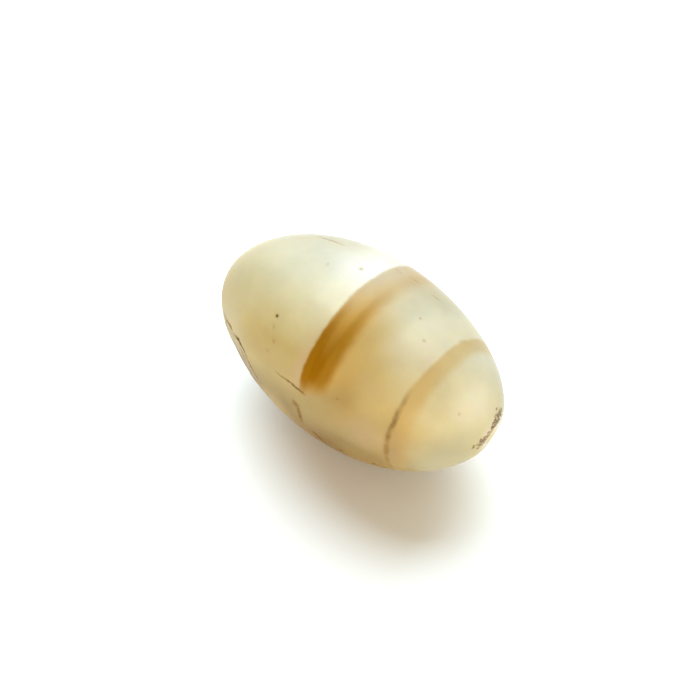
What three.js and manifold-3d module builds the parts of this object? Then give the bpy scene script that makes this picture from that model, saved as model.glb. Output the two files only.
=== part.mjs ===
// A polished oval bead of banded agate, drilled along its length and worn by use.
// Millimetres, +Z up. The bead lies on its side with its long axis along X.
// The origin is on the surface it rests on, under the middle of the bead.

import * as THREE from 'three';
import { mergeVertices } from 'three/addons/utils/BufferGeometryUtils.js';
import Module from 'manifold-3d';

// The oval, before wear: half sizes along X, Y and Z
const HALF_LENGTH = 12.0;
const HALF_WIDTH = 7.1;
const HALF_HEIGHT = 7.04;

// Hand grinding left the oval a little lean at the shoulders, fatter at its +X half and swayed
const FULLNESS = 1.96; // exponent of the outline: 2 is a true ellipse
const TAPER = 0.021; // share of the radius gained at +X and lost at -X
const SWAY = 0.575; // sideways drift of the flanks: the middle of a section moves by up to 0.4 of it

// The end faces, worn flat: the way each one faces and how deep it cuts into the oval's tip.
// The front one is worn askew, so it faces a little down and to the back
const FRONT_FACE = { direction: new THREE.Vector3(0.968, 0.121, -0.219).normalize(), depth: 0.245 };
const BACK_FACE = { direction: new THREE.Vector3(-1, 0, 0), depth: 0.2 };

// The thread hole runs straight from the middle of one end face to the middle of the other
const HOLE_RADIUS = 0.6;
const MOUTH_RADIUS = 0.85;
const MOUTH_DEPTH = 0.5;

// The worn flat underneath, measured up from the lowest point of the oval
const REST_FLAT_DEPTH = 0.18;

// A shallow flake scar on the front flank near the -X end
const CHIP_DIRECTION = new THREE.Vector3(-0.423, -0.892, -0.159).normalize();
const CHIP_DEPTH = 0.21;

// Facets along the outline, around the bead and around the hole
const OUTLINE_STEPS = 40;
const BEAD_SIDES = 64;
const HOLE_SIDES = 24;

const CUTTER_SIZE = 3 * HALF_LENGTH;

const wasm = await Module();
wasm.setup();

// A closed solid from a surface, without the triangles that shrink to a line at a pole
function toSolid(geometry) {
  const bare = geometry.clone();
  bare.deleteAttribute('normal');
  bare.deleteAttribute('uv');
  const merged = mergeVertices(bare);
  const corners = [];
  for (let i = 0; i < merged.index.count; i += 3) {
    const [a, b, c] = merged.index.array.slice(i, i + 3);
    if (a !== b && b !== c && c !== a) {
      corners.push(a, b, c);
    }
  }
  return new wasm.Manifold(new wasm.Mesh({
    numProp: 3,
    vertProperties: new Float32Array(merged.attributes.position.array),
    triVerts: new Uint32Array(corners),
  }));
}

function toGeometry(solid) {
  const mesh = solid.getMesh();
  const geometry = new THREE.BufferGeometry();
  geometry.setAttribute('position', new THREE.BufferAttribute(mesh.vertProperties, mesh.numProp));
  geometry.setIndex(new THREE.BufferAttribute(mesh.triVerts, 1));
  geometry.computeVertexNormals();
  return geometry;
}

// A solid of revolution about X from points of (radius, x)
function turned(points, sides) {
  const outline = points.map(([radius, x]) => new THREE.Vector2(radius, x));
  return new THREE.LatheGeometry(outline, sides).rotateZ(-Math.PI / 2);
}

// Share of the full radius left at a place along the bead, from -1 at one tip to 1 at the other
function outlineRadius(along) {
  return (1 - Math.abs(along) ** FULLNESS) ** (1 / FULLNESS);
}

// The oval: a turned outline of unit radius, then stretched, tapered and swayed
function ovalGeometry() {
  const points = [[0, -HALF_LENGTH]];
  for (let i = 1; i < OUTLINE_STEPS; i += 1) {
    const along = -Math.cos(Math.PI * i / OUTLINE_STEPS);
    points.push([outlineRadius(along), HALF_LENGTH * along]);
  }
  points.push([0, HALF_LENGTH]);

  const oval = turned(points, BEAD_SIDES);
  const place = oval.attributes.position;
  for (let i = 0; i < place.count; i += 1) {
    const along = place.getX(i) / HALF_LENGTH;
    const size = 1 + TAPER * along;
    const drift = SWAY * along * (1 - along ** 2);
    place.setY(i, HALF_WIDTH * size * place.getY(i) - drift);
    place.setZ(i, HALF_HEIGHT * size * place.getZ(i));
  }
  return oval;
}

// The middle of an end face: the tip of the oval in that direction, drawn in by the face's depth
function faceMiddle({ direction, depth }) {
  const squares = new THREE.Vector3(HALF_LENGTH ** 2, HALF_WIDTH ** 2, HALF_HEIGHT ** 2);
  const middle = direction.clone().multiply(squares);
  const tipDistance = Math.sqrt(middle.dot(direction));
  return middle.multiplyScalar((tipDistance - depth) / tipDistance ** 2);
}

// What the drill took out: a straight hole with a flared mouth at each end face
function holeGeometry() {
  const front = faceMiddle(FRONT_FACE);
  const back = faceMiddle(BACK_FACE);
  const face = front.distanceTo(back) / 2;
  const beyond = face + MOUTH_DEPTH;
  const flareRadius = 2 * MOUTH_RADIUS - HOLE_RADIUS;
  const hole = turned([
    [0, -beyond],
    [flareRadius, -beyond],
    [HOLE_RADIUS, MOUTH_DEPTH - face],
    [HOLE_RADIUS, face - MOUTH_DEPTH],
    [flareRadius, beyond],
    [0, beyond],
  ], HOLE_SIDES);
  const alongX = new THREE.Vector3(1, 0, 0);
  const alongHole = front.clone().sub(back).normalize();
  const turn = new THREE.Quaternion().setFromUnitVectors(alongX, alongHole);
  const middle = front.clone().add(back).multiplyScalar(0.5);
  return hole.applyQuaternion(turn).translate(middle.x, middle.y, middle.z);
}

// A block whose face lies across a direction, the given distance from the bead's middle
function blockBeyond(direction, distance) {
  const up = new THREE.Vector3(0, 0, 1);
  const turn = new THREE.Quaternion().setFromUnitVectors(up, direction);
  return new THREE.BoxGeometry(CUTTER_SIZE, CUTTER_SIZE, CUTTER_SIZE)
    .translate(0, 0, CUTTER_SIZE / 2 + distance)
    .applyQuaternion(turn);
}

// How far a geometry reaches from the bead's middle in a direction
function reach(geometry, direction) {
  const place = geometry.attributes.position;
  const point = new THREE.Vector3();
  let farthest = 0;
  for (let i = 0; i < place.count; i += 1) {
    point.fromBufferAttribute(place, i);
    farthest = Math.max(farthest, point.dot(direction));
  }
  return farthest;
}

function beadGeometry() {
  const oval = ovalGeometry();
  const flats = [
    FRONT_FACE,
    BACK_FACE,
    { direction: new THREE.Vector3(0, 0, -1), depth: REST_FLAT_DEPTH },
    { direction: CHIP_DIRECTION, depth: CHIP_DEPTH },
  ];
  let stone = toSolid(oval).subtract(toSolid(holeGeometry()));
  for (const { direction, depth } of flats) {
    const block = blockBeyond(direction, reach(oval, direction) - depth);
    stone = stone.subtract(toSolid(block));
  }

  const geometry = toGeometry(stone);
  geometry.computeBoundingBox();
  const middle = geometry.boundingBox.getCenter(new THREE.Vector3());
  return geometry.translate(-middle.x, -middle.y, -geometry.boundingBox.min.z);
}

const agate = new THREE.MeshStandardMaterial({
  name: 'polished banded agate',
  color: 0xddd2ab,
  roughness: 0.35,
  metalness: 0,
});

const bead = new THREE.Mesh(beadGeometry(), agate);
bead.name = 'bead';

const group = new THREE.Group();
group.name = 'banded agate bead';
group.add(bead);

export default group;
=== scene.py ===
# %% [markdown]
# # A banded agate bead
# This lesson dresses one small part: a hand-ground, polished bead of banded agate, about 24 mm long.
# The solid that carries it is already made, so the first step loads that frame and keeps its box.
# Everything that follows has to stay in that box, in the same place.

# %% Load the frame
import math
import random

import bmesh
import bpy
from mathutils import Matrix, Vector, kdtree, noise


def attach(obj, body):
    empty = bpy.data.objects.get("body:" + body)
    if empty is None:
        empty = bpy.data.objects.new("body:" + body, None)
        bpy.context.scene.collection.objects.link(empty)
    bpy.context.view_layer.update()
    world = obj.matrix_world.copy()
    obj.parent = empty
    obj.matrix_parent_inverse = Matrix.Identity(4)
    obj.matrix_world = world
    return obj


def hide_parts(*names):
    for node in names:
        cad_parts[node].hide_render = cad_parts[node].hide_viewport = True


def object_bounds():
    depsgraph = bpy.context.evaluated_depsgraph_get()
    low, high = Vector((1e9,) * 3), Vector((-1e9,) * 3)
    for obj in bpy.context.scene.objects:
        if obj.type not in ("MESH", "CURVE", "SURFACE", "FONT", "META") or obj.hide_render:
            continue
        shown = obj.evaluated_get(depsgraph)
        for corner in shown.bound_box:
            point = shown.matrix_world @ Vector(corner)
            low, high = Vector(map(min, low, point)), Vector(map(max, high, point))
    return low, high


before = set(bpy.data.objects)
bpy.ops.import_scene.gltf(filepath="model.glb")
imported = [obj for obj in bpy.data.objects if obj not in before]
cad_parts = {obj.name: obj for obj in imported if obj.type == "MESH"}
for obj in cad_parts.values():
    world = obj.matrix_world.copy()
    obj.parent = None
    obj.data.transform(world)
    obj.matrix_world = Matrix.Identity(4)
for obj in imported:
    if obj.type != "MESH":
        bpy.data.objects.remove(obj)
cad_low, cad_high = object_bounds()
MM = 0.001
print("CAD box in mm:", [round(side / MM, 2) for side in cad_high - cad_low])

# %% [markdown]
# ## The oval
# A bead like this is ground by hand against a wheel, so it is nearly, but not quite, a turned shape.
# A scaled sphere would be quicker, but its rings bunch up at the poles, just where the hole is.
# Here one outline is drawn in millimetres, from end face to end face and back through the hole,
# and spun about the X axis. The outline is a formula with an exponent: 2 would be a true ellipse.
# Blender's own spin would do, but the order of its faces changes from run to run. Two loops don't.

# %% Sizes of the oval, in millimetres
HALF_LENGTH = 12.0
HALF_WIDTH = 7.1
HALF_HEIGHT = 7.04
FULLNESS = 1.96
HOLE_RADIUS = 0.6
MOUTH_RADIUS = 0.85
MOUTH_DEPTH = 0.5
FRONT_FACE_RADIUS = 1.4
BACK_FACE_RADIUS = 1.2


def outline(along):
    """Share of the full radius left at a place along the bead, from -1 to 1. It is its own inverse."""
    return max(0.0, 1 - abs(along) ** FULLNESS) ** (1 / FULLNESS)


FRONT_X = HALF_LENGTH * outline(FRONT_FACE_RADIUS / HALF_HEIGHT)
BACK_X = HALF_LENGTH * outline(BACK_FACE_RADIUS / HALF_HEIGHT)
print("end faces %.2f and %.2f mm from the middle" % (FRONT_X, BACK_X))

# %% Draw the outline and spin it
FLANK_STEPS = 84
FACE_STEPS = 6
FLARE_STEPS = 8
WALL_STEPS = 4
SPIN_STEPS = 240


def half_outline(end_x, face_radius):
    """The flank, end face, flared mouth and hole from the middle to one end and back, as (x, radius)."""
    points = []
    last = math.acos(end_x / HALF_LENGTH)
    for i in range(FLANK_STEPS + 1):
        along = math.cos(math.pi / 2 + (last - math.pi / 2) * i / FLANK_STEPS)
        points.append((HALF_LENGTH * along, HALF_HEIGHT * outline(along)))
    for i in range(1, FACE_STEPS):
        points.append((end_x, face_radius + (MOUTH_RADIUS - face_radius) * i / FACE_STEPS))
    for i in range(FLARE_STEPS + 1):
        turn = math.pi / 2 * i / FLARE_STEPS
        flare = (MOUTH_RADIUS - HOLE_RADIUS) * (1 - math.sin(turn))
        points.append((end_x - MOUTH_DEPTH * (1 - math.cos(turn)), HOLE_RADIUS + flare))
    for i in range(1, WALL_STEPS + 1):
        points.append(((end_x - MOUTH_DEPTH) * (1 - i / WALL_STEPS), HOLE_RADIUS))
    return points


front_half = half_outline(FRONT_X, FRONT_FACE_RADIUS)
back_half = [(-x, radius) for x, radius in half_outline(BACK_X, BACK_FACE_RADIUS)]
loop = front_half + back_half[-2:0:-1]

bm = bmesh.new()
rings = []
for step in range(SPIN_STEPS):
    turn = 2 * math.pi * step / SPIN_STEPS
    cosine, sine = math.cos(turn), math.sin(turn)
    rings.append([bm.verts.new((x, radius * cosine, radius * sine)) for x, radius in loop])
for step in range(SPIN_STEPS):
    before, after = rings[step - 1], rings[step]
    for i in range(len(loop)):
        bm.faces.new((before[i], before[i - 1], after[i - 1], after[i]))
print("spun bead:", len(bm.verts), "vertices,", len(bm.faces), "faces")

# %% [markdown]
# ## The worn end
# The drill came out a little off centre at the front end, and the face around its mouth is worn
# askew, so that it looks down and back. Cutting the spun mesh would leave slivers round the hole.
# It is quicker to slide the rings near that end sideways on the oval, and push what stands
# beyond the worn plane back to it.

# %% Slide the front mouth off centre and wear its face
FRONT_DIRECTION = Vector((0.968, 0.121, -0.219)).normalized()
FRONT_DEPTH = 0.245
SLIDE_INNER = 1.6
SLIDE_OUTER = 5.0
ROUNDING = 0.001

squares = Vector((HALF_LENGTH ** 2, HALF_WIDTH ** 2, HALF_HEIGHT ** 2))
front_tip = FRONT_DIRECTION * squares
tip_distance = math.sqrt(front_tip.dot(FRONT_DIRECTION))
face_distance = tip_distance - FRONT_DEPTH
front_mouth = front_tip * face_distance / tip_distance ** 2
print("front mouth of the hole at", [round(c, 2) for c in front_mouth])


def face_x(y, z):
    """How far along X the worn front face is, above a point of the YZ plane."""
    return (face_distance - FRONT_DIRECTION.y * y - FRONT_DIRECTION.z * z) / FRONT_DIRECTION.x


def smooth(value, start, end):
    """0 at start, 1 at end, and an easy S between them."""
    share = min(max((value - start) / (end - start), 0.0), 1.0)
    return share * share * (3 - 2 * share)


for vert in bm.verts:
    radius = math.hypot(vert.co.y, vert.co.z)
    if radius < MOUTH_RADIUS + ROUNDING:
        share = (vert.co.x + BACK_X) / (FRONT_X + BACK_X)
        vert.co.y += front_mouth.y * share
        vert.co.z += front_mouth.z * share
        vert.co.x += (face_x(vert.co.y, vert.co.z) - FRONT_X) * smooth(vert.co.x, 0.0, FRONT_X)
    elif vert.co.x > 0:
        share = smooth(radius, SLIDE_OUTER, SLIDE_INNER)
        vert.co.y += front_mouth.y * share
        vert.co.z += front_mouth.z * share
        on_flank = HALF_LENGTH * outline(math.hypot(vert.co.y, vert.co.z) / HALF_HEIGHT)
        if share > 0:
            vert.co.x = min(on_flank, face_x(vert.co.y, vert.co.z))

# %% [markdown]
# ## Cracks and pits
# Old beads carry small damage: hairline cracks that took up dirt, pinhole pits, bruises and flakes.
# They could be drawn in the bump alone, but real dents keep their shape from every side.
# So each mark is an address on the bead: how far along X it lies, and how far round, in degrees
# from the +Y side over the top. The mesh is divided finer only near the marks.

# %% Addresses of the marks
RIM_PATH = [(11.63, 41.5), (11.86, 44), (11.96, 61), (11.985, 95), (11.98, 149), (11.82, 191)]
# name: path of (x in mm, degrees round), full width, depth, how much dirt it holds
MARKS = {
    "long_crack": ([(-2.7, 163.6), (-1.3, 162.6), (-0.4, 162.8), (0.6, 163.4)], 0.3, 0.04, 0.85),
    "bruise": ([(-0.6, 174.2), (-0.1, 176.0)], 1.0, 0.05, 0.75),
    "bruise_tail": ([(-0.1, 176.0), (0.1, 182.5), (0.3, 189.0)], 0.7, 0.05, 0.8),
    "foot_mark": ([(1.1, 192.0), (1.6, 194.6), (1.9, 198.0), (2.2, 200.0)], 0.7, 0.05, 0.75),
    "top_crack": ([(-6.8, 60.0), (-5.2, 61.6), (-4.0, 62.8)], 0.36, 0.05, 0.45),
    "ridge_crack_a": ([(0.2, 58.4), (1.0, 60.1)], 0.22, 0.03, 0.4),
    "ridge_crack_b": ([(1.2, 56.6), (1.8, 55.9), (2.4, 55.0)], 0.22, 0.03, 0.4),
    "ridge_crack_c": ([(3.4, 55.1), (4.3, 53.3)], 0.22, 0.03, 0.4),
    "gold_smudge": ([(7.4, 70.0), (7.6, 62.0)], 0.5, 0.02, 0.25),
    "dark_pit": ([(-4.3, 132.2)], 0.34, 0.07, 1.0),
    "pit_b": ([(-4.2, 137.8), (-4.05, 140.5)], 0.24, 0.03, 0.22),
    "pit_c": ([(-3.6, 146.8)], 0.3, 0.04, 0.4),
    "pit_d": ([(-3.8, 154.9)], 0.3, 0.03, 0.25),
    "top_pit": ([(-1.3, 77.0)], 0.46, 0.06, 0.35),
    "top_scratch": ([(-3.6, 85.5), (-3.4, 88.5)], 0.3, 0.03, 0.2),
    "milk_pit_a": ([(4.6, 80.0)], 0.32, 0.03, 0.25),
    "milk_pit_b": ([(5.9, 90.5)], 0.34, 0.03, 0.25),
    "cap_pit": ([(10.4, 120.4)], 0.36, 0.04, 0.2),
    "gold_pit": ([(2.9, 152.8)], 0.3, 0.03, 0.25),
    "under_pit_a": ([(3.5, 199.9)], 0.5, 0.06, 0.7),
    "under_pit_b": ([(5.9, 205.4)], 0.6, 0.06, 0.7),
    "back_crack": ([(2.1, -4.0), (3.4, 3.0), (4.2, 14.0)], 0.22, 0.04, 0.5),
    "back_pit_a": ([(-5.4, 22.0)], 0.34, 0.05, 0.5),
    "back_pit_b": ([(-1.2, -18.0)], 0.3, 0.04, 0.4),
    "back_pit_c": ([(8.6, 12.0)], 0.3, 0.04, 0.35),
    "under_crack": ([(-6.2, 236.0), (-5.0, 243.0), (-4.4, 254.0)], 0.24, 0.04, 0.5),
    "flake_edge": (
        [
            (-9.8, 171.7), (-9.2, 174.0), (-8.5, 170.8), (-7.9, 173.0), (-7.0, 170.6),
            (-6.3, 174.1), (-5.8, 178.0), (-5.1, 182.0), (-4.1, 187.0),
        ],
        0.5, 0.03, 1.0,
    ),
    "front_rim": (RIM_PATH, 0.36, 0.03, 0.95),
    "rim_haze": (RIM_PATH, 0.9, 0.0, 0.32),
}
SAMPLE_STEP = 0.04


def on_oval(x, degrees):
    """The point of the worn bead at an address."""
    radius = HALF_HEIGHT * outline(x / HALF_LENGTH)
    turn = math.radians(degrees)
    y, z = radius * math.cos(turn), radius * math.sin(turn)
    return Vector((min(x, face_x(y, z)), y, z))


def walk(path):
    """Points every SAMPLE_STEP along a path of addresses, with the share of the way gone."""
    if len(path) == 1:
        return [(on_oval(*path[0]), 0.5)]
    points = []
    for i in range(len(path) - 1):
        start, end = Vector(path[i]), Vector(path[i + 1])
        steps = max(1, math.ceil((on_oval(*end) - on_oval(*start)).length / SAMPLE_STEP))
        for k in range(steps):
            address = start.lerp(end, k / steps)
            points.append((on_oval(*address), (i + k / steps) / (len(path) - 1)))
    return points


print(len(MARKS), "marks")

# %% Samples along the marks
SPECKLED = {"front_rim": (5, 0.21)}  # specks for each sample, and how far they stray in mm
SMALLEST_SPECK = 0.15
SPECK_SEED = 4
END_SHARE = 0.02
END_SHARPNESS = 0.25
BLOTCH = 0.3
BLOTCH_SIZE = 0.3
WOBBLE = 0.07
WOBBLE_SIZE = 0.5
WOBBLE_SHIFTS = [Vector((9.3, 0, 0)), Vector((0, 9.3, 0)), Vector((0, 0, 9.3))]


def wobble(point):
    """A smooth push to the side. One noise for each axis: noise_vector isn't the same in every run."""
    return WOBBLE * Vector([noise.noise(point / WOBBLE_SIZE + shift) for shift in WOBBLE_SHIFTS])


samples = []
chance = random.Random(SPECK_SEED)
for name, (path, width, depth, held_dirt) in MARKS.items():
    for point, share in walk(path):
        swell = math.sin(math.pi * min(max(share, END_SHARE), 1 - END_SHARE)) ** END_SHARPNESS
        specks, stray = SPECKLED.get(name, (0, 0.0))
        for speck in range(specks):
            y = point.y + chance.gauss(0, stray)
            z = point.z + chance.gauss(0, stray)
            flank_x = HALF_LENGTH * outline(math.hypot(y, z) / HALF_HEIGHT)
            speck_point = Vector((min(flank_x, face_x(y, z)), y, z))
            size = chance.uniform(SMALLEST_SPECK, 1)
            samples.append((speck_point, width / 2 * size, depth * size, held_dirt * size))
        if specks == 0:
            if len(path) > 1:
                swell *= 1 - BLOTCH / 2 + BLOTCH * noise.noise(point / BLOTCH_SIZE)
                point += wobble(point)
            samples.append((point, width / 2 * swell, depth * swell, held_dirt * swell))

tree = kdtree.KDTree(len(samples))
for index, sample in enumerate(samples):
    tree.insert(sample[0], index)
tree.balance()
widest = max(sample[1] for sample in samples)
print(len(samples), "samples along the marks, widest reach %.2f mm" % widest)

# %% Divide the mesh near the marks
FINE_REACH = 0.3
FINE_ROUNDS = 2
FLANK_END = 11.0


def near_mark(vert):
    return tree.find(vert.co)[2] < FINE_REACH


for fine_round in range(FINE_ROUNDS):
    close = {vert for vert in bm.verts if near_mark(vert)}
    chosen = [edge for edge in bm.edges if edge.verts[0] in close and edge.verts[1] in close]
    bmesh.ops.subdivide_edges(bm, edges=chosen, cuts=1, use_grid_fill=True)
bmesh.ops.triangulate(bm, faces=[face for face in bm.faces if len(face.verts) > 4])

for vert in bm.verts:
    if abs(vert.co.x) < FLANK_END and near_mark(vert):
        turn = math.atan2(vert.co.z, vert.co.y)
        radius = HALF_HEIGHT * outline(vert.co.x / HALF_LENGTH)
        vert.co.y, vert.co.z = radius * math.cos(turn), radius * math.sin(turn)
print("after dividing:", len(bm.verts), "vertices")

# %% Press the marks in and note the dirt
RAGGED = 0.5
RAGGED_SIZE = 0.11

dirt_layer = bm.verts.layers.float.new("dirt")
bm.normal_update()
pressed = 0
inward = {vert: -vert.normal for vert in bm.verts}
for vert in bm.verts:
    press = 0.0
    jag = 1 + RAGGED * noise.noise(vert.co / RAGGED_SIZE)
    for point, index, distance in tree.find_range(vert.co, widest):
        half_width, depth, held_dirt = samples[index][1:]
        share = 1 - (distance * jag / half_width) ** 2
        if share > 0:
            press = max(press, depth * share ** 2)
            vert[dirt_layer] = max(vert[dirt_layer], held_dirt * share)
    vert.co += inward[vert] * press
    pressed += press > 0
print("pressed", pressed, "vertices")

# %% [markdown]
# ## What the hand and the years did
# The wheel left the bead a touch fatter at one half and swayed to one side. A flake has come off
# the front near the far end, and the underside has a small worn flat, on which the bead lies still.
# The flake scar and the flat are made by pushing back every point that stands beyond a plane.
# The scar's plane is rippled, as conchoidal fractures in chalcedony are, which makes its edge ragged.

# %% Taper, sway, flake scar and resting flat
TAPER = 0.021
SWAY = 0.575
REST_FLAT_DEPTH = 0.18
CHIP_DIRECTION = Vector((-0.423, -0.892, -0.159)).normalized()
CHIP_DEPTH = 0.21
RIPPLE = 0.1
RIPPLE_SIZE = 0.9
SCAR_DIRT = 0.28
SCAR_EDGE_DIRT = 0.2
SCAR_EDGE = 0.015

for vert in bm.verts:
    along = vert.co.x / HALF_LENGTH
    size = 1 + TAPER * along
    vert.co.y = vert.co.y * size * HALF_WIDTH / HALF_HEIGHT - SWAY * along * (1 - along ** 2)
    vert.co.z *= size

chip_reach = max(vert.co.dot(CHIP_DIRECTION) for vert in bm.verts) - CHIP_DEPTH
floor_z = min(vert.co.z for vert in bm.verts) + REST_FLAT_DEPTH
chipped = 0
for vert in bm.verts:
    ripple = RIPPLE * noise.noise(vert.co / RIPPLE_SIZE)
    beyond = vert.co.dot(CHIP_DIRECTION) - chip_reach - ripple
    if beyond > 0:
        vert.co -= CHIP_DIRECTION * beyond
        edge_dirt = SCAR_EDGE_DIRT * math.exp(-beyond / SCAR_EDGE)
        vert[dirt_layer] = max(vert[dirt_layer], SCAR_DIRT + edge_dirt)
        chipped += 1
    vert.co.z = max(vert.co.z, floor_z)
print("scar points:", chipped, "- resting flat at z = %.2f mm" % floor_z)

# %% Put the bead in the frame
mesh_top = max(vert.co.z for vert in bm.verts)
mesh_ends = [end(vert.co.x for vert in bm.verts) for end in (min, max)]
middle_x = (cad_low.x + cad_high.x) / 2 / MM - sum(mesh_ends) / 2
middle_mm = Vector((middle_x, 0, cad_high.z / MM - mesh_top))
bmesh.ops.translate(bm, verts=bm.verts, vec=middle_mm)
bmesh.ops.scale(bm, verts=bm.verts, vec=(MM, MM, MM))
mesh = bpy.data.meshes.new("agate_bead")
bm.to_mesh(mesh)
bm.free()
for polygon in mesh.polygons:
    polygon.use_smooth = True
bead = bpy.data.objects.new("agate_bead", mesh)
bpy.context.scene.collection.objects.link(bead)
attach(bead, "root")
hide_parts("bead")
mesh.calc_loop_triangles()
print("bead:", len(mesh.loop_triangles), "triangles, middle at", [round(c, 2) for c in middle_mm], "mm")

# %% [markdown]
# ## Two helpers for materials
# Colours are picked as the hex values a paint program shows, and the shader wants linear light,
# so one function turns one into the other. A second one adds a node, its settings and its links.

# %% Colour and node helpers


def to_linear(code):
    """An sRGB hex colour as linear RGBA."""
    parts = [int(code[i:i + 2], 16) / 255 for i in (1, 3, 5)]
    linear = [c / 12.92 if c <= 0.04045 else ((c + 0.055) / 1.055) ** 2.4 for c in parts]
    return (*linear, 1.0)


def add(nodes, kind, sockets=None, **settings):
    """Add a node. Sockets maps an input's name or number to a value or to another node's output."""
    made = nodes.nodes.new(kind)
    for name, value in settings.items():
        setattr(made, name, value)
    for key, value in (sockets or {}).items():
        if isinstance(value, bpy.types.NodeSocket):
            nodes.links.new(value, made.inputs[key])
        else:
            made.inputs[key].default_value = value
    return made


# %% [markdown]
# ## Banded agate
# Agate is chalcedony laid down in layers, and a bead cut across them shows the layers as bands.
# So the colour is a function of place in the stone, not of the surface: it reads Object coordinates,
# turned to millimetres about the bead's middle, and the bands run on round the hidden side.
# A picture wrapped round the bead would be quicker, but it would smear at the two ends.

# %% Coordinates in the stone
agate = bpy.data.materials.new("polished_banded_agate")  # warm, cloudy, lets light in a little
agate.use_nodes = True
stone = agate.node_tree
stone.nodes.clear()
own_place = add(stone, "ShaderNodeTexCoord")
mm = add(
    stone,
    "ShaderNodeMapping",
    {"Vector": own_place.outputs["Object"], "Location": -middle_mm, "Scale": (1 / MM, 1 / MM, 1 / MM)},
).outputs[0]
axes = add(stone, "ShaderNodeSeparateXYZ", {"Vector": mm})
UP_AND_BACK = (0, 0.75, 0.65)
up_slant = add(stone, "ShaderNodeVectorMath", {0: mm, 1: UP_AND_BACK}, operation="DOT_PRODUCT")
slant = up_slant.outputs["Value"]
print("colour is placed in mm about", [round(c, 2) for c in middle_mm])

# %% Noise patterns, by their size in millimetres
# name: size along x, size along y and z, detail
PATTERNS = {
    "warp": (4.0, 4.0, 2.0),
    "fray": (0.45, 0.45, 3.0),
    "streaks": (0.7, 4.0, 2.0),
    "blotches": (0.7, 0.7, 2.0),
    "clouds": (2.2, 2.2, 4.0),
    "grind": (0.25, 0.25, 3.0),
}
pattern = {}
for name, (size_x, size_yz, detail) in PATTERNS.items():
    scales = (1 / size_x, 1 / size_yz, 1 / size_yz)
    scaled = add(stone, "ShaderNodeVectorMath", {0: mm, 1: scales}, operation="MULTIPLY")
    sockets = {"Vector": scaled.outputs[0], "Scale": 1.0, "Detail": detail}
    made = add(stone, "ShaderNodeTexNoise", sockets)
    pattern[name] = made.outputs["Fac"]
print("patterns:", ", ".join(PATTERNS))

# %% [markdown]
# ## The ground colour
# Between the bands the stone goes from honey at the foot to cream on top. A colour ramp along
# a slanted line gives that in one node; its darkest honey at the foot is partly painted shade
# where the bead meets the paper. Some places are deeper honey and some are milkier: each of
# those is a soft ball of colour, mixed in by distance from its middle. The dark balls low on the
# front and under the bead are partly painted shade, and the bright balls on the end cap are
# partly painted glow of light coming through the stone.

# %% Honey below, cream on top
# The lowest stops are partly painted shade where the bead meets the paper.
# millimetres up the slant, colour there
GROUND_WITH_FOOT_SHADE = [
    (-8.5, "#a87829"),
    (-6.6, "#9d7b42"),
    (-5.4, "#98814e"),
    (-3.8, "#c8b278"),
    (-1.5, "#d0b978"),
    (-0.4, "#dac992"),
    (3.0, "#e1d7b1"),
    (6.5, "#e4dec6"),
]
lowest, highest = GROUND_WITH_FOOT_SHADE[0][0], GROUND_WITH_FOOT_SHADE[-1][0]
up_share = add(stone, "ShaderNodeMapRange", {"Value": slant, "From Min": lowest, "From Max": highest})
ground = add(stone, "ShaderNodeValToRGB", {"Fac": up_share.outputs[0]})
stops = ground.color_ramp.elements
while len(stops) < len(GROUND_WITH_FOOT_SHADE):
    stops.new(0.5)
for stop, (height, code) in zip(stops, GROUND_WITH_FOOT_SHADE):
    stop.position = (height - lowest) / (highest - lowest)
    stop.color = to_linear(code)
colour = ground.outputs["Color"]
print("ground colour:", len(GROUND_WITH_FOOT_SHADE), "stops over", highest - lowest, "mm")

# %% Deeper and milkier places
# Balls at y of -5.4 or less and z of 1 or below, and the low one on the cap at (10.6, -3.4, -1.2),
# are partly painted shade. The two balls at x 10.8 that lighten the end cap are partly painted glow.
# middle in mm, inner and outer reach, colour, strength
DEPTHS_AND_PAINTED_LIGHT = [
    ((-4.0, -5.6, 3.6), 0.5, 4.0, "#c6ac6c", 0.35),
    ((-6.2, 4.6, 4.0), 0.5, 5.5, "#c6bd9a", 0.65),
    ((-8.8, -4.2, 1.8), 0.5, 3.2, "#dfd0a0", 0.7),
    ((3.8, 3.0, 6.0), 1.0, 4.6, "#d5ccac", 0.85),
    ((5.0, 5.2, 4.0), 0.5, 4.5, "#cdc39e", 0.5),
    ((3.2, -3.4, 5.6), 1.0, 4.4, "#cbac5e", 0.6),
    ((3.0, -6.2, 3.2), 0.3, 3.8, "#b89858", 0.75),
    ((7.4, -5.4, 0.8), 0.5, 3.2, "#b4925a", 0.25),
    ((5.2, -5.0, 4.2), 0.4, 2.4, "#d8c084", 0.6),
    ((5.2, -6.2, 1.0), 0.3, 2.2, "#b49c74", 0.6),
    ((6.6, -2.4, 5.4), 0.5, 2.6, "#e2d2a0", 0.5),
    ((10.8, -1.6, 2.4), 0.8, 4.8, "#dfd6aa", 0.9),
    ((10.8, -0.6, 3.2), 0.4, 2.6, "#f6efd2", 0.7),
    ((10.6, -3.4, -1.2), 1.0, 4.4, "#b5ae8b", 0.95),
    ((1.2, -6.7, 0.9), 0.4, 3.0, "#b09a64", 0.8),
    ((2.2, -6.6, -2.6), 0.5, 3.0, "#836636", 0.9),
    ((-2.8, -6.1, -1.6), 0.5, 2.6, "#b49a60", 0.9),
    ((11.7, 0.4, -0.3), 0.8, 2.0, "#e6e0cc", 0.8),
]
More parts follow.
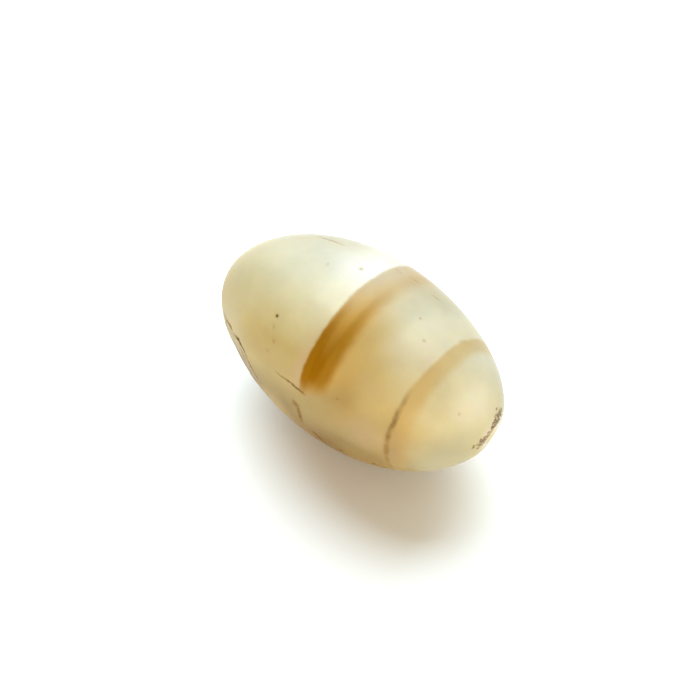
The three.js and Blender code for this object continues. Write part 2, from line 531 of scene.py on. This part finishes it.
for centre, inner, outer, code, strength in DEPTHS_AND_PAINTED_LIGHT:
    away = add(stone, "ShaderNodeVectorMath", {0: mm, 1: centre}, operation="DISTANCE")
    share = add(
        stone,
        "ShaderNodeMapRange",
        {"Value": away.outputs["Value"], "From Min": outer, "From Max": inner, "To Max": strength},
        interpolation_type="SMOOTHSTEP",
    )
    sockets = {0: share.outputs[0], 6: colour, 7: to_linear(code)}
    colour = add(stone, "ShaderNodeMix", sockets, data_type="RGBA").outputs[2]
print(len(DEPTHS_AND_PAINTED_LIGHT), "places mixed into the ground colour")

# %% [markdown]
# ## The bands
# A flat band would be a slice of x alone. Real layers lean, bend and fray, so each set of layers
# has its own coordinate: x, leaning with y, with some noise added. The brown layers also swing
# forward on the lower flank. A band is where that coordinate lies between two values.

# %% A coordinate across each set of layers
swing = add(
    stone,
    "ShaderNodeMapRange",
    {"Value": axes.outputs["Z"], "From Min": 4.0, "From Max": -3.2, "To Min": 0.0, "To Max": 1.45},
    interpolation_type="SMOOTHSTEP",
)
# name: lean with y, bend, reach of the slow warp, reach of the frayed edge (mm)
LAYERS = {
    "brown": (0.045, swing.outputs[0], 0.25, 0.16),
    "gold": (0.06, 0.0, 0.5, 0.14),
    "milk": (0.28, 0.0, 1.2, 0.2),
}
across = {}
for name, (lean, bend, warp_reach, fray_reach) in LAYERS.items():
    leaning = add(stone, "ShaderNodeVectorMath", {0: mm, 1: (1, -lean, 0)}, operation="DOT_PRODUCT")
    sockets = {0: leaning.outputs["Value"], 1: bend}
    where = add(stone, "ShaderNodeMath", sockets, operation="SUBTRACT").outputs[0]
    for kind, reach in (("warp", warp_reach), ("fray", fray_reach)):
        sockets = {0: pattern[kind], 1: reach, 2: where}
        moved = add(stone, "ShaderNodeMath", sockets, operation="MULTIPLY_ADD").outputs[0]
        where = add(stone, "ShaderNodeMath", {0: moved, 1: reach / 2}, operation="SUBTRACT").outputs[0]
    across[name] = where
print("layers:", ", ".join(LAYERS))

# %% Where the bands are strong
# The brown band breaks off on a slanting, ragged line and fades upward
WISP_REACH = 1.6
BREAK_DIRECTION = (-0.6, 0.5, 1)
BREAK_REACH = 0.8
sockets = {0: pattern["blotches"], 1: WISP_REACH, 2: slant}
wisp_line = add(stone, "ShaderNodeMath", sockets, operation="MULTIPLY_ADD")
cut = add(stone, "ShaderNodeVectorMath", {0: mm, 1: BREAK_DIRECTION}, operation="DOT_PRODUCT")
sockets = {0: pattern["streaks"], 1: BREAK_REACH, 2: cut.outputs["Value"]}
break_line = add(stone, "ShaderNodeMath", sockets, operation="MULTIPLY_ADD")
front_to_back = axes.outputs["Y"]
# name: value, from, to, strength at each
FADES = {
    "up": (slant, 0.0, 4.5, 0.0, 1.0),
    "top": (slant, 3.6, 6.2, 0.0, 1.0),
    "wispy": (wisp_line.outputs[0], 2.6, 3.6, 0.0, 1.0),
    "milky": (front_to_back, -4.0, -0.5, 0.0, 1.0),
    "low": (front_to_back, -3.0, -5.2, 0.0, 1.0),
    "foot": (slant, -1.8, -4.4, 0.0, 1.0),
    "unbroken": (break_line.outputs[0], -1.5, 0.7, 0.0, 1.0),
    "brown": (front_to_back, -5.0, 3.0, 1.0, 0.4),
    "short_stripe": (front_to_back, -5.2, -0.6, 1.0, 0.05),
    "long_stripe": (front_to_back, -5.0, 2.0, 1.0, 0.1),
    "dark": (front_to_back, -5.6, -1.0, 1.0, 0.08),
    "streaky": (pattern["streaks"], 0.3, 0.7, 0.8, 1.0),
    "blotchy": (pattern["blotches"], 0.35, 0.65, 0.5, 1.0),
}
fade = {}
for name, (value, start, end, at_start, at_end) in FADES.items():
    made = add(
        stone,
        "ShaderNodeMapRange",
        {"Value": value, "From Min": start, "From Max": end, "To Min": at_start, "To Max": at_end},
        interpolation_type="SMOOTHSTEP",
    )
    fade[name] = made.outputs[0]
print("fades:", ", ".join(FADES))

# %% Lay the bands over the ground
DARKEST = "#a06900"
# layers, start and softness there, end and softness there, colour, strength, fades
BANDS = [
    # The three white rows are the white layer beside the brown band; the near-white one on top,
    # under the top fade, is partly a painted highlight.
    ("brown", -1.6, 1.3, -0.15, 0.1, "#f7eecc", 0.65, ["up"]),
    ("brown", -2.6, 1.0, -0.15, 0.1, "#f5ebca", 0.45, ["wispy"]),
    ("brown", -2.6, 1.8, -0.15, 0.1, "#fdfbf2", 0.8, ["top"]),
    ("brown", -0.9, 0.5, -0.1, 0.1, "#d9ba92", 0.5, ["unbroken", "low"]),
    ("milk", 4.3, 0.8, 8.0, 1.6, "#e5dab6", 1.0, ["milky"]),
    ("brown", 0.8, 0.6, 3.6, 1.6, "#d3b064", 0.85, ["unbroken", "brown"]),
    ("brown", -0.15, 0.25, 2.2, 0.6, "#d2a444", 1.0, ["unbroken", "brown"]),
    ("brown", -0.1, 0.18, 2.15, 0.5, DARKEST, 1.0, ["unbroken", "dark", "streaky"]),
    ("brown", -0.12, 0.15, 0.5, 0.25, "#a87210", 1.0, ["unbroken", "short_stripe"]),
    ("brown", 1.3, 0.25, 1.95, 0.4, "#b07f20", 1.0, ["unbroken", "long_stripe"]),
    ("gold", 7.42, 0.15, 8.55, 0.35, "#d0ac60", 0.55, []),
    ("gold", 7.4, 0.2, 8.0, 0.5, "#d0ac60", 0.3, []),
    ("gold", 7.2, 0.3, 8.5, 0.6, "#a89062", 0.8, ["foot"]),
    ("gold", 7.3, 0.12, 7.62, 0.14, "#98783e", 1.0, ["low", "blotchy"]),
]
laid = {}
for name, start, start_soft, end, end_soft, code, strength, fades in BANDS:
    shown = strength
    for edge, outside, within in ((start, -start_soft, start_soft), (end, end_soft, -end_soft)):
        side = add(
            stone,
            "ShaderNodeMapRange",
            {"Value": across[name], "From Min": edge + outside, "From Max": edge + within},
            interpolation_type="SMOOTHSTEP",
        )
        sockets = {0: side.outputs[0], 1: shown}
        shown = add(stone, "ShaderNodeMath", sockets, operation="MULTIPLY").outputs[0]
    for wanted in fades:
        sockets = {0: fade[wanted], 1: shown}
        shown = add(stone, "ShaderNodeMath", sockets, operation="MULTIPLY").outputs[0]
    laid[code] = shown
    sockets = {0: shown, 6: colour, 7: to_linear(code)}
    colour = add(stone, "ShaderNodeMix", sockets, data_type="RGBA").outputs[2]
print(len(BANDS), "bands laid")

# %% [markdown]
# ## Tone, clouds and dirt
# The colours so far were picked as the bead looks in its light. The window lights the far side
# more than the near side, so the colour is toned along that direction to make up for it.
# This belongs to this light, not to the stone: for other light, set both tones to the same value.
# Soft clouds break up the even areas. Dirt sits in the marks and on the flake scar, brown where
# there is little of it and nearly black where there is much.

# %% Tone the colour
NEAR_TONE = (0.72, 0.74, 0.81)
FAR_TONE = (0.44, 0.4, 0.37)
FAR_DIRECTION = (-0.29, 0.90, -0.31)
TONE_START, TONE_END = -4.5, 3.8
NOISE_LOW, NOISE_HIGH = 0.3, 0.7
farther = add(stone, "ShaderNodeVectorMath", {0: mm, 1: FAR_DIRECTION}, operation="DOT_PRODUCT")
far_share = add(
    stone,
    "ShaderNodeMapRange",
    {"Value": farther.outputs["Value"], "From Min": TONE_START, "From Max": TONE_END},
    interpolation_type="SMOOTHSTEP",
)
# body is painted light and shade: the near side is painted lighter and the far side darker, to offset
# the window.
sockets = {0: far_share.outputs[0], 4: NEAR_TONE, 5: FAR_TONE}
body = add(stone, "ShaderNodeMix", sockets, data_type="VECTOR")
sockets = {"Value": pattern["clouds"], "From Min": NOISE_LOW, "From Max": NOISE_HIGH}
cloudy = add(stone, "ShaderNodeMapRange", {**sockets, "To Min": 0.94, "To Max": 1.04})
sockets = {0: body.outputs[1], "Scale": cloudy.outputs[0]}
tone = add(stone, "ShaderNodeVectorMath", sockets, operation="SCALE")
toned = add(stone, "ShaderNodeVectorMath", {0: colour, 1: tone.outputs[0]}, operation="MULTIPLY")
print("tone from", NEAR_TONE, "to", FAR_TONE)

# %% Add the dirt
dirt = add(stone, "ShaderNodeAttribute", attribute_name="dirt").outputs["Fac"]
thin_dirt, thick_dirt = to_linear("#8a6118"), to_linear("#38270a")
dirt_colour = add(stone, "ShaderNodeMix", {0: dirt, 6: thin_dirt, 7: thick_dirt}, data_type="RGBA")
sockets = {0: dirt, 6: toned.outputs[0], 7: dirt_colour.outputs[2]}
dirty = add(stone, "ShaderNodeMix", sockets, data_type="RGBA")
dirty_points = sum(point.value > 0 for point in mesh.attributes["dirt"].data)
print(dirty_points, "points of the mesh carry dirt")

# %% [markdown]
# ## The finish
# Handling has taken the polish back to satin: no sharp highlight is left, only a soft sheen.
# Light goes some millimetres into chalcedony before it comes out again, red furthest.
# Subsurface scattering does that; plain diffuse would make the bead look like painted wood.
# Dirt is dull. The darkest brown is given no sheen either, because even a faint one greys it.

# %% Satin polish over a translucent body
sockets = {"Value": pattern["clouds"], "From Min": NOISE_LOW, "From Max": NOISE_HIGH}
satin = add(stone, "ShaderNodeMapRange", {**sockets, "To Min": 0.34, "To Max": 0.44})
dull = add(stone, "ShaderNodeMath", {0: dirt, 1: laid[DARKEST]}, operation="MAXIMUM")
sheen = add(stone, "ShaderNodeMapRange", {"Value": dull.outputs[0], "To Min": 0.12, "To Max": 0.0})
sockets = {"Height": pattern["grind"], "Strength": 0.05, "Distance": 0.02 * MM}
bump = add(stone, "ShaderNodeBump", sockets)
surface = add(
    stone,
    "ShaderNodeBsdfPrincipled",
    {
        "Base Color": dirty.outputs[2],
        "Roughness": satin.outputs[0],
        "Normal": bump.outputs[0],
        "IOR": 1.54,
        "Specular IOR Level": sheen.outputs[0],
        "Subsurface Weight": 0.9,
        "Subsurface Radius": (1.0, 0.65, 0.25),
        "Subsurface Scale": 6.0 * MM,
    },
    subsurface_method="RANDOM_WALK",
)
add(stone, "ShaderNodeOutputMaterial", {"Surface": surface.outputs[0]})
mesh.materials.append(agate)
print("agate has", len(stone.nodes), "nodes")

# %% [markdown]
# ## The paper
# The bead lies on a sheet of white paper. A single matt plane is enough.

# %% Paper floor
FLOOR_HALF = 0.6
floor_mesh = bpy.data.meshes.new("paper_floor")
bm = bmesh.new()
bmesh.ops.create_grid(bm, x_segments=1, y_segments=1, size=FLOOR_HALF)
bm.to_mesh(floor_mesh)
bm.free()
floor = bpy.data.objects.new("paper_floor", floor_mesh)
bpy.context.scene.collection.objects.link(floor)
paper = bpy.data.materials.new("white_paper")  # matt, nearly pure white
paper.use_nodes = True
paper_surface = paper.node_tree.nodes["Principled BSDF"]
paper_surface.inputs["Base Color"].default_value = to_linear("#f9f9f9")
paper_surface.inputs["Roughness"].default_value = 0.9
paper_surface.inputs["Specular IOR Level"].default_value = 0.1
floor_mesh.materials.append(paper)
print("paper floor", 2 * FLOOR_HALF, "m wide")

# %% [markdown]
# ## The light
# A wide window behind the bead gives a soft shadow toward the viewer, and a warm room fills it in.
# A small lamp would give a hard edge. The window is slightly cool, so it and the room add up to white.
# A white card stands low in front. It lights the near side of the bead, but only grazes the paper,
# so the shadow stays.

# %% Where the lights stand
VIEW_AZIMUTH = math.radians(38.85)
WINDOW_TURN = math.radians(1)
WINDOW_ELEVATION = math.radians(37)
CARD_ELEVATION = math.radians(8)
LIGHT_DISTANCE = 0.45
middle = middle_mm * MM
up_z = Vector((0, 0, 1))
toward_camera = Vector((math.sin(VIEW_AZIMUTH), -math.cos(VIEW_AZIMUTH), 0))
window_azimuth = VIEW_AZIMUTH + WINDOW_TURN
toward_window = Vector((-math.sin(window_azimuth), math.cos(window_azimuth), 0))
# name: flat direction, elevation, size in metres, watts, colour
LIGHTS = {
    "window": (toward_window, WINDOW_ELEVATION, 0.72, 7.2, "#ddf2ff"),
    "white_card": (toward_camera, CARD_ELEVATION, 0.24, 2.0, "#fff4e0"),
}

# %% Window, card and room
for name, (flat, elevation, size, watts, code) in LIGHTS.items():
    disk = bpy.data.lights.new(name, "AREA")
    disk.shape = "DISK"
    disk.size = size
    disk.energy = watts
    disk.color = to_linear(code)[:3]
    light = bpy.data.objects.new(name, disk)
    direction = flat * math.cos(elevation) + up_z * math.sin(elevation)
    light.location = middle + direction * LIGHT_DISTANCE
    light.rotation_mode = "QUATERNION"
    light.rotation_quaternion = direction.to_track_quat("Z", "Y")
    bpy.context.scene.collection.objects.link(light)
    print(name, "is", size, "m across and stands", LIGHT_DISTANCE, "m away")

ROOM_STRENGTH = 0.46
world = bpy.data.worlds.new("soft_room")
world.use_nodes = True
room = world.node_tree.nodes["Background"]
room.inputs["Color"].default_value = to_linear("#fff0d3")
room.inputs["Strength"].default_value = ROOM_STRENGTH
bpy.context.scene.world = world

# %% [markdown]
# ## The camera
# The view is from above and to the right of the front, as a hand-held camera would look at a bead
# on a table. The focal length is given in pixels of the picture and turned into a lens in millimetres.
# Plain Standard colour keeps the paper at full white, where a filmic curve would grey it.

# %% Camera
VIEW_ELEVATION = math.radians(52.0)
PHOTO_SIDE = 700
FOCAL_PIXELS = 3311.3
CAMERA_DISTANCE = 0.240
BEAD_PIXEL = (360.8, 350.7)
SENSOR = 36.0

back = toward_camera * math.cos(VIEW_ELEVATION) + up_z * math.sin(VIEW_ELEVATION)
right = Vector((math.cos(VIEW_AZIMUTH), math.sin(VIEW_AZIMUTH), 0))
up = back.cross(right)
per_pixel = CAMERA_DISTANCE / FOCAL_PIXELS
aside = (BEAD_PIXEL[0] - PHOTO_SIDE / 2) * per_pixel
below = (BEAD_PIXEL[1] - PHOTO_SIDE / 2) * per_pixel
lens = bpy.data.cameras.new("camera")
lens.sensor_width = SENSOR
lens.lens = SENSOR * FOCAL_PIXELS / PHOTO_SIDE
lens.clip_start = 0.01
camera = bpy.data.objects.new("camera", lens)
camera.location = middle + back * CAMERA_DISTANCE - right * aside + up * below
camera.rotation_mode = "QUATERNION"
camera.rotation_quaternion = back.to_track_quat("Z", "Y")
bpy.context.scene.collection.objects.link(camera)
bpy.context.scene.camera = camera
bpy.context.scene.view_settings.view_transform = "Standard"
print("camera %.0f mm from the bead, lens %.0f mm" % (CAMERA_DISTANCE / MM, lens.lens))
